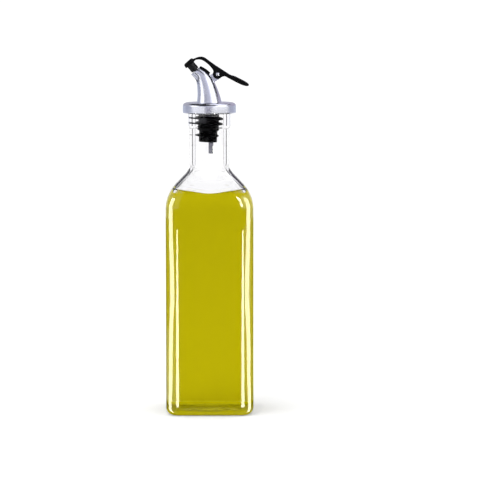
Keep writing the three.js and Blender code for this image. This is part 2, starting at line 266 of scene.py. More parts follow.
@dataclass(frozen=True)
class Moulded(Finish):
    """A moulded surface with a fine grain, a little uneven in its gloss and its colour."""

    metallic: float = 0.0
    shine: float = 0.5
    # A mould's real grain is about 0.1 mm wide. It is drawn as coarse as it needs to show.
    grain_mm: float = 0.5
    grain_height_mm: float = 0.01
    gloss_range: float = 0.1
    # Handling leaves patches of another gloss, some millimetres wide.
    patch_mm: float = 6.0
    patch_colour: str = "#202022"

    def dress(self, nodes: Nodes) -> None:
        """Adds the grain, and patches of another gloss and colour.

        Args:
            nodes: The material's nodes.
        """
        tree = nodes.tree
        nodes.shader.inputs["Metallic"].default_value = self.metallic
        nodes.shader.inputs["Specular IOR Level"].default_value = self.shine
        noise = {"Vector": nodes.place, "Scale": 1 / (self.patch_mm * MM), "Detail": 3.0}
        patches = add_node(tree, "ShaderNodeTexNoise", noise)
        noise = {"Vector": nodes.place, "Scale": 1 / (self.grain_mm * MM), "Detail": 2.0}
        grain = add_node(tree, "ShaderNodeTexNoise", noise)
        tints = {0: patches.outputs[0], 6: linear(self.colour), 7: linear(self.patch_colour)}
        tint = add_node(tree, "ShaderNodeMix", tints, data_type="RGBA")
        gloss = {
            "Value": patches.outputs[0],
            "From Min": NOISE_LOW,
            "From Max": NOISE_HIGH,
            "To Min": self.roughness - self.gloss_range / 2,
            "To Max": self.roughness + self.gloss_range / 2,
        }
        relief = {"Height": grain.outputs[0], "Strength": 1.0, "Distance": self.grain_height_mm * MM}
        nodes.feed("Base Color", tint.outputs[2])
        nodes.feed("Roughness", add_node(tree, "ShaderNodeMapRange", gloss).outputs[0])
        nodes.feed("Normal", add_node(tree, "ShaderNodeBump", relief).outputs[0])


# Clear flint bottle glass. The eye gets bright edges and a faint lavender cast where it is thick.
FLINT_GLASS = PressedGlass("Flint glass, blown in a mould", WHITE, 0.0, 1.5, "#DCD6FB", 200.0)
# Filtered oil with no haze. The eye gets this yellow-green across the bottle, and a paler one at its corners.
FILTERED_OIL = PressedOil("Olive oil, filtered", WHITE, 0.0, 1.48, "#B3A909", 55.2)
# Plated ABS. The eye gets soft-edged bands of white and grey, a little lavender.
PLATED_ABS = Moulded(
    "ABS, moulded and silver plated",
    "#D9DAE2",
    0.24,
    metallic=1.0,
    grain_mm=0.9,
    grain_height_mm=0.0012,
    gloss_range=0.05,
    patch_mm=9.0,
    patch_colour="#CFD1DC",
)
# Black polypropylene. The eye gets near black with a few small, soft lights along its edges.
BLACK_PP = Moulded(
    "Polypropylene, moulded black",
    "#050506",
    0.32,
    shine=0.06,
    grain_mm=0.45,
    grain_height_mm=0.004,
    patch_colour="#09090B",
)
# Black rubber. The eye gets a duller black than the lever's, with a trace of bloom.
BLACK_RUBBER = Moulded(
    "Rubber, moulded black",
    "#050506",
    0.48,
    shine=0.08,
    grain_mm=0.6,
    grain_height_mm=0.006,
    gloss_range=0.16,
    patch_mm=3.0,
    patch_colour="#0A0A0C",
)
# The same rubber, polished by the spout's rim. The eye gets small soft lights on the seal.
SEAL_RUBBER = Moulded(
    "Rubber, moulded black and rubbed smooth",
    "#050506",
    0.26,
    shine=0.22,
    grain_mm=0.6,
    grain_height_mm=0.003,
    patch_mm=2.0,
    patch_colour="#09090B",
)
# Grey polyethylene tube. The eye gets an even mid grey with a soft shine down its side.
GREY_TUBE = Moulded(
    "Polyethylene, extruded grey",
    "#82818E",
    0.38,
    grain_mm=0.8,
    grain_height_mm=0.003,
    patch_mm=4.0,
    patch_colour="#777683",
)


def arc(centre: Point, radii: Pair, start: float, end: float, steps: int) -> list[Point]:
    """Points of an arc of an ellipse.

    Args:
        centre: The ellipse's centre.
        radii: Its radii along each axis.
        start: The first point's angle, in radians.
        end: The last point's angle.
        steps: How many steps lie between them.

    Returns:
        The arc's points.
    """
    angles = [start + (end - start) * i / steps for i in range(steps + 1)]
    return [(centre[0] + radii[0] * math.cos(a), centre[1] + radii[1] * math.sin(a)) for a in angles]


def softened(outline: Sequence[Point], radius: float) -> list[Point]:
    """Rounds each inner corner of an open outline.

    Args:
        outline: The outline's points, the first and last of which stay as they are.
        radius: How far along each side the rounding starts, less where a side is short.

    Returns:
        The rounded outline.
    """
    soft = [outline[0]]
    for before, corner, after in zip(outline, outline[1:], outline[2:]):
        here, back, ahead = Vector(corner), Vector(before), Vector(after)
        start = here + (back - here).normalized() * min(radius, (back - here).length * SIDE_SHARE)
        end = here + (ahead - here).normalized() * min(radius, (ahead - here).length * SIDE_SHARE)
        for i in range(ROUNDING_STEPS + 1):
            t = i / ROUNDING_STEPS
            soft.append(tuple((1 - t) ** 2 * start + 2 * t * (1 - t) * here + t**2 * end))
    return [*soft, outline[-1]]


def catmull_rom(values: Sequence[Sequence[float]], share: float) -> list[float]:
    """A point of the smooth curve through some values.

    Args:
        values: What the curve passes through, evenly spaced along it.
        share: How far along the curve the point is, from 0 to 1.

    Returns:
        The point's values.
    """
    spans = len(values) - 1
    index = min(int(share * spans), spans - 1)
    t = share * spans - index
    first = [2 * a - b for a, b in zip(values[0], values[1])]
    last = [2 * a - b for a, b in zip(values[-1], values[-2])]
    padded = [first, *values, last]
    return [
        0.5 * (2 * b + (c - a) * t + (2 * a - 5 * b + 4 * c - d) * t**2 + (3 * b - a - 3 * c + d) * t**3)
        for a, b, c, d in zip(*padded[index : index + 4])
    ]


def mesh_object(name: str, build: bmesh.types.BMesh) -> bpy.types.Object:
    """Turns a mesh in millimetres to an object in metres, its faces pointing out and its surface smooth.

    Args:
        name: The object's name.
        build: The mesh, which is freed.

    Returns:
        The new object, in the scene.
    """
    bmesh.ops.remove_doubles(build, verts=build.verts, dist=WELD)
    bmesh.ops.scale(build, vec=(MM, MM, MM), verts=build.verts)
    bmesh.ops.recalc_face_normals(build, faces=build.faces)
    data = bpy.data.meshes.new(name)
    build.to_mesh(data)
    build.free()
    data.shade_smooth()
    made = bpy.data.objects.new(name, data)
    bpy.context.scene.collection.objects.link(made)
    return made


def lofted(name: str, rings: Sequence[Sequence[Vector]]) -> bpy.types.Object:
    """Joins rings of equal length into a closed solid. A ring of one point is a pole.

    Args:
        name: The object's name.
        rings: The rings, in order. The last joins the first unless both are poles.

    Returns:
        The new object.
    """
    build = bmesh.new()
    rows = [[build.verts.new(point) for point in ring] for ring in rings]
    pairs = list(zip(rows, rows[1:]))
    if len(rows[0]) > 1:
        pairs.append((rows[-1], rows[0]))
    for low, high in pairs:
        sides = max(len(low), len(high))
        for i in range(sides):
            j = (i + 1) % sides
            corners = [low[i % len(low)], low[j % len(low)], high[j % len(high)], high[i % len(high)]]
            build.faces.new(list(dict.fromkeys(corners)))
    return mesh_object(name, build)


def revolved(name: str, outline: Iterable[Point], sides: int) -> bpy.types.Object:
    """Turns an outline about Z.

    Args:
        name: The object's name.
        outline: Points of radius and height, which start and end on the axis or close on themselves.
        sides: How many steps the turn takes.

    Returns:
        The new object.
    """
    turns = [FULL_TURN * i / sides for i in range(sides)]
    rings = []
    for radius, height in outline:
        if radius < LEAST_RADIUS:
            rings.append([Vector((0, 0, height))])
        else:
            rings.append([Vector((radius * math.cos(a), radius * math.sin(a), height)) for a in turns])
    return lofted(name, rings)


def cylinder(name: str, radius: float, low: float, high: float, sides: int) -> bpy.types.Object:
    """An upright cylinder on the axis.

    Args:
        name: The object's name.
        radius: Its radius.
        low: The height of its lower end.
        high: The height of its upper end.
        sides: How many steps its turn takes.

    Returns:
        The new object.
    """
    return revolved(name, [(0, low), (radius, low), (radius, high), (0, high)], sides)


def plate(name: str, outline: Sequence[Point], low: float, high: float) -> bpy.types.Object:
    """A plate whose outline lies in the XZ plane.

    Args:
        name: The object's name.
        outline: Points of x and z, in order.
        low: The lower y.
        high: The higher y.

    Returns:
        The new object.
    """
    build = bmesh.new()
    front = [build.verts.new((x, low, z)) for x, z in outline]
    back = [build.verts.new((x, high, z)) for x, z in outline]
    build.faces.new(front)
    build.faces.new(list(reversed(back)))
    for i in range(len(outline)):
        j = (i + 1) % len(outline)
        build.faces.new([front[i], back[i], back[j], front[j]])
    bmesh.ops.triangulate(build, faces=[f for f in build.faces if len(f.verts) > 4])
    return mesh_object(name, build)


def apply_modifiers(piece: bpy.types.Object) -> None:
    """Makes a piece's modifiers part of its mesh.

    Args:
        piece: The piece, whose modifiers are removed.
    """
    seen = piece.evaluated_get(bpy.context.evaluated_depsgraph_get())
    data = bpy.data.meshes.new_from_object(seen)
    piece.modifiers.clear()
    piece.data = data


class Cut(Enum):
    """How one solid changes another."""

    JOIN = "UNION"
    TAKE = "DIFFERENCE"
    KEEP = "INTERSECT"


def combine(piece: bpy.types.Object, how: Cut, other: bpy.types.Object) -> None:
    """Joins another solid to a piece, cuts it out or keeps what both hold, and removes it.

    Args:
        piece: The piece that is changed.
        how: What is done.
        other: The other solid.
    """
    modifier = piece.modifiers.new("combine", "BOOLEAN")
    modifier.operation = how.value
    modifier.solver = "MANIFOLD"
    modifier.object = other
    apply_modifiers(piece)
    bpy.data.objects.remove(other)


def rounded_edges(piece: bpy.types.Object, width: float) -> None:
    """Rounds a piece's sharp edges.

    Args:
        piece: The piece.
        width: How wide the rounding is, in millimetres.
    """
    modifier = piece.modifiers.new("edges", "BEVEL")
    modifier.width = width * MM
    modifier.segments = 3
    modifier.limit_method = "ANGLE"
    modifier.angle_limit = math.radians(EDGE_ANGLE)
    modifier.use_clamp_overlap = True
    apply_modifiers(piece)


def crisp(piece: bpy.types.Object, sharper_than: float) -> None:
    """Keeps a piece's flat faces flat in the light, and smooths the rest.

    Args:
        piece: The piece.
        sharper_than: The least angle of an edge that stays sharp, in degrees.
    """
    piece.data.shade_smooth()
    piece.data.set_sharp_from_angle(angle=math.radians(sharper_than))
    modifier = piece.modifiers.new("flats", "WEIGHTED_NORMAL")
    modifier.keep_sharp = True
    apply_modifiers(piece)


def melted(piece: bpy.types.Object, voxel: float, passes: int, swell: float) -> None:
    """Gives a piece the soft edges of a moulding, through an even mesh that is smoothed.

    Args:
        piece: The piece.
        voxel: The even mesh's spacing, in millimetres.
        passes: How often it is smoothed.
        swell: How far its surface is moved out again, in millimetres.
    """
    remesh = piece.modifiers.new("even", "REMESH")
    remesh.mode = "VOXEL"
    remesh.voxel_size = voxel * MM
    remesh.use_smooth_shade = True
    smooth = piece.modifiers.new("soft", "SMOOTH")
    smooth.factor = 0.5
    smooth.iterations = passes
    displace = piece.modifiers.new("swell", "DISPLACE")
    displace.strength = swell * MM
    displace.mid_level = 0.0
    apply_modifiers(piece)
    piece.data.shade_smooth()


def wet(piece: bpy.types.Object, points: Iterable[int]) -> None:
    """Marks where a piece's surface is wetted.

    Args:
        piece: The piece.
        points: The numbers of the points that are.
    """
    wetted = piece.data.attributes.new(WETTED, "FLOAT", "POINT")
    for index in points:
        wetted.data[index].value = 1.0


@dataclass
class Piece(ABC):
    """A sub-assembly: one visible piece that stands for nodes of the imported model."""

    name: str
    nodes: tuple[str, ...]
    body: Body
    slot: Slot
    finish: Finish

    @abstractmethod
    def shape(self) -> bpy.types.Object:
        """Makes the piece's mesh."""

    def build(self) -> bpy.types.Object:
        """Makes the piece, dresses it and hangs it on its body.

        Returns:
            The finished piece.
        """
        made = self.shape()
        made.data.materials.clear()
        made.data.materials.append(self.finish.material())
        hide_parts(*self.nodes)
        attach(made, self.body.value)
        LOG.info("%s: %d faces on %s", self.name, len(made.data.polygons), self.body.value)
        return made


@dataclass
class BottleForm:
    """The form of the square bottle, outside and inside, as rounded squares stacked along Z.

    Each section is a half width, a height and a corner radius.
    """

    half_width: float = 30.96
    corner: float = 9.0
    body_top: float = 146.9
    heel: float = 5.5
    heel_steps: int = 12
    punt_radius: float = 19.0
    punt_depth: float = 1.6
    shoulder_radius: float = 24.0
    shoulder_steps: int = 24
    neck_radius: float = 14.3
    neck_fillet: float = 8.0
    neck_steps: int = 14
    wall: float = 3.4
    floor: float = 2.4
    floor_rise: float = 1.6
    inner_heel: float = 5.0
    bore_radius: float = 10.6
    bore_fillet: float = 16.0
    lip_radius: float = 14.9
    lip_bottom: float = 203.9
    lip_top: float = 213.9
    lip_rounding: float = 1.2
    lip_softness: float = 0.7
    lip_steps: int = 8
    # How far the slope under the lip starts and ends below the lip's bottom.
    lip_slope: Pair = (1.0, 0.2)
    # How far the plain neck and the lip's side stay off the curves that they meet.
    neck_clear: float = 2.0
    lip_clear: float = 0.1
    # Where a ring has points: shares of each side's flat half, and steps round each corner.
    side_shares: tuple[float, ...] = (0, 0.2, 0.4, 0.6, 0.8, 0.92, 0.98)
    corner_steps: int = 28
    ring_spacing: float = 3.0

    def directions(self) -> list[float]:
        """The directions from the axis in which each ring has a point, close together at the corners.

        Returns:
            The angles, in radians.
        """
        flat = self.half_width - self.corner
        side = [math.atan2(flat * share, self.half_width) for share in self.side_shares]
        turn = [QUARTER_TURN * i / self.corner_steps for i in range(self.corner_steps // 2)]
        bend = [
            math.atan2(flat + self.corner * math.sin(a), flat + self.corner * math.cos(a)) for a in turn
        ]
        half = [*side, *bend]
        quarter = [*half, EIGHTH_TURN, *(QUARTER_TURN - a for a in reversed(half[1:]))]
        return [quadrant * QUARTER_TURN + a for quadrant in range(4) for a in quarter]

    def ring(self, half_width: float, height: float, corner: float) -> Ring:
        """The points of one rounded square.

        Args:
            half_width: Half the square's width.
            height: How high it lies.
            corner: The radius of its corners, a circle's where it is the half width.

        Returns:
            The ring, or a pole where the width is nothing.
        """
        if half_width < LEAST_RADIUS:
            return [Vector((0, 0, height))]
        flat = half_width - corner
        points = []
        for angle in self.directions():
            across, along = math.cos(angle), math.sin(angle)
            u, v = abs(across), abs(along)
            if max(u, v) * flat >= min(u, v) * half_width:
                reach = half_width / max(u, v)
            else:
                middle = flat * (u + v)
                reach = middle + math.sqrt(max(0.0, middle**2 - 2 * flat**2 + corner**2))
            points.append(Vector((reach * across, reach * along, height)))
        return points

    def corner_at(self, half_width: float, widest: float, corner: float, neck: float) -> float:
        """The corner radius on the way from the square body to the round neck.

        Args:
            half_width: Half the width there.
            widest: Half the body's width.
            corner: The body's corner radius.
            neck: The neck's radius.

        Returns:
            The corner radius there.
        """
        share = min(1.0, max(0.0, (widest - half_width) / (widest - neck)))
        return corner + (neck - corner) * share

    def shoulder(self, inset: float, neck: float, fillet: float) -> list[Section]:
        """The sections from the top of the body to the neck.

        Args:
            inset: How far the surface lies inside the outer one.
            neck: The neck's radius.
            fillet: The radius of the hollow curve at the neck's foot.

        Returns:
            The sections.
        """
        widest = self.half_width - inset
        radius = self.shoulder_radius - inset
        corner = self.corner - inset
        centre = self.half_width - self.shoulder_radius
        convex = arc((centre, self.body_top), (radius, radius), 0, EIGHTH_TURN, self.shoulder_steps)
        cone_radius, cone_height = convex[-1]
        start = neck + fillet * (1 - math.cos(EIGHTH_TURN))
        bottom = cone_height + cone_radius - start + fillet * math.sin(EIGHTH_TURN)
        cone = [
            (cone_radius + (start - cone_radius) * t, cone_height + (cone_radius - start) * t)
            for t in (0.25, 0.5, 0.75)
        ]
        turn = (math.pi + EIGHTH_TURN, math.pi)
        hollow = arc((neck + fillet, bottom), (fillet, fillet), *turn, self.neck_steps)
        return [
            (half, height, self.corner_at(half, widest, corner, neck))
            for half, height in [*convex, *cone, *hollow]
        ]

    def dome(self, height: float, rise: float) -> list[Section]:
        """The sections of the low dome in the middle of the base, or of the floor above it.

        Args:
            height: The height of its edge.
            rise: How much higher its middle lies.

        Returns:
            The sections.
        """
        radii = (0.0, 6.0, 12.0, self.punt_radius)
        return [(r, height + rise * (1 - (r / self.punt_radius) ** 2), r) for r in radii]

    def foot(self, half_width: float, floor: float, corner: float, radius: float) -> list[Section]:
        """The sections from the floor out and up to the upright face.

        Args:
            half_width: Half the body's width.
            floor: The floor's height.
            corner: The body's corner radius.
            radius: The radius of the curve between floor and face.

        Returns:
            The sections.
        """
        centre = (half_width - radius, floor + radius)
        curve = arc(centre, (radius, radius), -QUARTER_TURN, 0, self.heel_steps)
        return [(half, height, corner - (half_width - half)) for half, height in curve]

    def upright(self, section: Section, top: float) -> list[Section]:
        """Copies of a section up an upright face.

        Args:
            section: The section at its foot.
            top: The face's top, which the copies stop short of.

        Returns:
            The sections between.
        """
        half, low, corner = section
        count = round((top - low) / self.ring_spacing)
        return [(half, low + (top - low) * i / count, corner) for i in range(1, count)]

    def inside(self, bite: float = 0.0) -> list[Section]:
        """The sections of the inner surface, from the middle of the floor up to the neck's bore.

        Args:
            bite: How far the surface reaches into the glass.

        Returns:
            The sections.
        """
        inset = self.wall - bite
        floor = self.floor - bite
        foot = self.foot(self.half_width - inset, floor, self.corner - inset, self.inner_heel)
        return [
            *self.dome(floor, self.floor_rise),
            *foot,
            *self.upright(foot[-1], self.body_top),
            *self.shoulder(inset, self.bore_radius + bite, self.bore_fillet),
        ]

    def outside(self) -> list[Section]:
        """The sections of the outer surface, from the middle of the base over the lip and into the bore.

        Returns:
            The sections.
        """
        foot = self.foot(self.half_width, 0.0, self.corner, self.heel)
        shoulder = self.shoulder(0.0, self.neck_radius, self.neck_fillet)
        rounding = (self.lip_rounding, self.lip_rounding)
        crown = self.lip_top - self.lip_rounding
        slope_start, slope_end = self.lip_slope
        corners = [
            (self.neck_radius, shoulder[-1][1] + self.neck_clear),
            (self.neck_radius, self.lip_bottom - slope_start),
            (self.lip_radius, self.lip_bottom - slope_end),
            (self.lip_radius, crown - self.lip_clear),
        ]
        outer, inner = self.lip_radius - self.lip_rounding, self.bore_radius + self.lip_rounding
        lip = [
            *softened(corners, self.lip_softness),
            *arc((outer, crown), rounding, 0, QUARTER_TURN, self.lip_steps),
            *arc((inner, crown), rounding, QUARTER_TURN, math.pi, self.lip_steps),
        ]
        return [
            *self.dome(0.0, self.punt_depth),
            *foot,
            *self.upright(foot[-1], self.body_top),
            *shoulder,
            *((radius, height, radius) for radius, height in lip),
        ]

    def rings(self, sections: Iterable[Section]) -> list[Ring]:
        """The rings of some sections."""
        return [self.ring(*section) for section in sections]


@dataclass
class Bottle(Piece):
    """The clear bottle."""

    form: BottleForm

    def shape(self) -> bpy.types.Object:
        """Joins the outer surface to the inner one, which is wetted.

        Returns:
            The bottle.
        """
        outer = self.form.rings(self.form.outside())
        inner = self.form.rings(reversed(self.form.inside()))
        bottle = lofted(self.name, [*outer, *inner])
        wet(bottle, range(sum(map(len, outer[:-1])), len(bottle.data.vertices)))
        return bottle


@dataclass
class Oil(Piece):
    """The oil, which reaches just into the glass and climbs a little up it, most of all in the corners."""

    form: BottleForm
    level: float = 157.2
    bite: float = 0.06
    face_climb: float = 0.3
    corner_climb: float = 2.3
    climb_width: float = 1.6
    # How far from the glass the rings of the free surface lie, short of its middle.
    distances: tuple[float, ...] = (0, 0.2, 0.45, 0.75, 1.1, 1.6, 2.2, 3, 4, 5.5, 8, 12, 17, 22)

    def brim(self, angle: float) -> float:
        """How high the oil stands at the glass.

        Args:
            angle: The direction from the axis, in radians.

        Returns:
            The height.
        """
        corner_share = math.sin(2 * angle) ** 2
        return self.level + self.face_climb + (self.corner_climb - self.face_climb) * corner_share

    def half_width(self, height: float) -> float:
        """Half the oil's width on the shoulder's convex curve.

        Args:
            height: The height there.

        Returns:
            The half width.
        """
        form = self.form
        radius = form.shoulder_radius - form.wall + self.bite
        return form.half_width - form.shoulder_radius + math.sqrt(radius**2 - (height - form.body_top) ** 2)

    def surface_ring(self, away: float) -> Ring:
        """The points of the oil's free surface at one distance from the glass.

        Args:
            away: The distance, along the middle of each face.

        Returns:
            The ring, or a pole on the axis.
        """
        form = self.form
        inset = form.wall - self.bite
        share = 1 - away / self.half_width(self.level)
        ring = []
        for index, angle in enumerate(form.directions()):
            brim = self.brim(angle)
            half = self.half_width(brim)
            corner = form.corner_at(half, form.half_width - inset, form.corner - inset, form.bore_radius)
            point = form.ring(half, 0, corner)[index] * share
            point.z = self.level + (brim - self.level) * math.exp(-away / self.climb_width)
            ring.append(point)
        return ring if share > 0 else [Vector((0, 0, self.level))]

    def shape(self) -> bpy.types.Object:
        """Fills the bottle up to the oil's level. All but the free surface is wetted.

        Returns:
            The oil.
        """
        below = [section for section in self.form.inside(self.bite) if section[1] < self.level]
        sides = self.form.rings(below)
        surface = [self.surface_ring(away) for away in (*self.distances, self.half_width(self.level))]
        oil = lofted(self.name, [*sides, *surface])
        wet(oil, range(sum(map(len, [*sides, surface[0]]))))
        return oil


@dataclass
class Bung(Piece):
    """The ribbed rubber bung, a little askew in the neck."""

    lip_top: float = 213.9
    gap: float = 0.3
    tilt: float = 2.6
    shift: float = -0.25
    radius: float = 7.4
    lower_radius: float = 6.5
    step: float = 201.2
    step_height: float = 0.4
    bottom: float = 192.9
    cup_radius: float = 4.8
    cup_depth: float = 2.4
    cup_flare: float = 0.3
    softness: float = 0.35
    sides: int = 96
    # The ribs from the lowest up: the height of the middle, the radius, and the thickness at the rim.
    ribs: tuple[Section, ...] = (
        (197.5, 8.7, 0.7),
        (202.8, 7.9, 1.4),
        (206.0, 10.15, 1.2),
        (209.6, 10.3, 1.2),
    )
    rib_root: float = 0.6
    # How far the lowest rib's rim is pushed aside, towards the mouth's side.
    rib_push: float = 1.0
    # Where the ribs press on the neck they lie flat on it, just into the wall.
    pressed_radius: float = 10.66
    flange_radius: float = 14.0
    flange_thickness: float = 0.4
    # How far the flange's middle reaches into the bung.
    flange_root: float = 0.2

    def rib(self, height: float, radius: float, thickness: float, root: float) -> list[Point]:
        """The outline of one rib.

        Args:
            height: The height of its middle.
            radius: How far out its rim lies.
            thickness: How thick its rim is.
            root: The radius of the bung below it.

        Returns:
            Points of radius and height, going up.
        """
        half = thickness / 2
        return [
            (root, height - half - self.rib_root),
            (radius, height - half),
            (radius, height + half),
            (root, height + half + self.rib_root),
        ]

    def press(self, body: bpy.types.Object) -> None:
        """Pushes the lowest rib aside, tips the body askew and presses its ribs on the neck.

        Args:
            body: The ribbed body.
        """
        rib_height, rib_radius, _ = self.ribs[0]
        for vertex in body.data.vertices:
            if abs(vertex.co.z - rib_height * MM) < MM:
                beyond = vertex.co.xy.length / MM - self.lower_radius
                vertex.co.x -= self.rib_push * MM * max(0.0, beyond) / (rib_radius - self.lower_radius)
        askew = Matrix.Rotation(math.radians(self.tilt), 4, "Y")
        pivot = Matrix.Translation((0, 0, self.lip_top * MM))
        shift = Matrix.Translation((self.shift * MM, 0, 0))
        body.data.transform(shift @ pivot @ askew @ pivot.inverted())
        for vertex in body.data.vertices:
            out = vertex.co.xy.length
            if out > self.pressed_radius * MM:
                vertex.co.xy *= self.pressed_radius * MM / out

    def shape(self) -> bpy.types.Object:
        """Turns the ribbed body, presses it into the neck and joins its flange.

        Returns:
            The bung.
        """
        top = self.lip_top + self.gap
        cup = self.bottom + self.cup_depth
        lowest, *upper = self.ribs
        outline = [
            (0, cup),
            (self.cup_radius, cup),
            (self.cup_radius + self.cup_flare, self.bottom),
            (self.lower_radius, self.bottom),
            *self.rib(*lowest, self.lower_radius),
            (self.lower_radius, self.step - self.step_height),
            (self.radius, self.step),
            *(point for rib in upper for point in self.rib(*rib, self.radius)),
            (self.radius, top),
            (0, top),
        ]
        body = revolved(self.name, softened(outline, self.softness), self.sides)
        self.press(body)
        flange = [
            (0, top - self.flange_root),
            (self.flange_radius, top),
            (self.flange_radius, top + self.flange_thickness),
            (0, top + self.flange_thickness),
        ]
        combine(body, Cut.JOIN, revolved("flange", flange, self.sides))
        crisp(body, sharper_than=50)
        return body


@dataclass
class BreatherTube(Piece):
    """The grey tube that lets air into the bottle."""

    offset: float = 1.1
    radius: float = 1.75
    bore: float = 1.0
    bottom: float = 184.65
    top: float = 200.0
    rim_steps: int = 10
    sides: int = 48

    def shape(self) -> bpy.types.Object:
        """Turns the tube, with a rounded end.

        Returns:
            The tube.
        """
        rim = (self.radius - self.bore) / 2
        end = (self.bore + rim, self.bottom + rim)
        outline = [
            *arc(end, (rim, rim), math.pi, FULL_TURN, self.rim_steps),
            (self.radius, self.top),
            (self.bore, self.top),
        ]
        tube = revolved(self.name, outline, self.sides)
        tube.data.transform(Matrix.Translation((self.offset * MM, 0, 0)))
        crisp(tube, sharper_than=50)
        return tube


@dataclass
class SpoutForm:
    """The run of the spout, from the collar to its mouth."""

    # Each section is x, z, lean towards -X in degrees, and radius.
    sections: tuple[Section, ...] = (
        (0.05, 219.0, 0, 9.1),
        (-0.15, 222.2, 2, 8.6),
        (-0.6, 225.6, 6, 7.9),
        (-1.3, 229.0, 12, 7.25),
        (-2.3, 232.6, 20, 6.6),
        (-3.75, 236.5, 29, 5.75),
        (-6.0, 240.1, 37, 4.8),
        (-9.95, 243.3, 41, 4.0),
    )
    sides: int = 96

    def at(self, share: float) -> tuple[Vector, Vector, Vector, float]:
        """One section of the spout.

        Args:
            share: How far along the run it is, from 0 at the collar to 1 at the mouth.

        Returns:
            Its centre, the way its back faces, the way the spout runs there, and its radius.
        """
        x, z, lean, radius = catmull_rom(self.sections, share)
        angle = math.radians(lean)
        back = Vector((math.cos(angle), 0, math.sin(angle)))
        along = Vector((-math.sin(angle), 0, math.cos(angle)))
        return Vector((x, 0, z)), back, along, radius

    def ring(self, share: float, radius: float | None = None, ahead: float = 0.0) -> Ring:
        """The points of one section.

        Args:
            share: How far along the run it is.
            radius: Its radius, or the spout's own where it is None.
            ahead: How far the ring is moved on along the spout.

        Returns:
            The ring, or a pole where the radius is nothing.
        """
        centre, back, along, own = self.at(share)
        size = own if radius is None else radius
        centre = centre + along * ahead
        if size < LEAST_RADIUS:
            return [centre]
        turns = [FULL_TURN * i / self.sides for i in range(self.sides)]
        side = Vector((0, 1, 0))
        return [centre + (back * math.cos(a) + side * math.sin(a)) * size for a in turns]


HINGE = Vector((5.9, 0.0, 241.0))


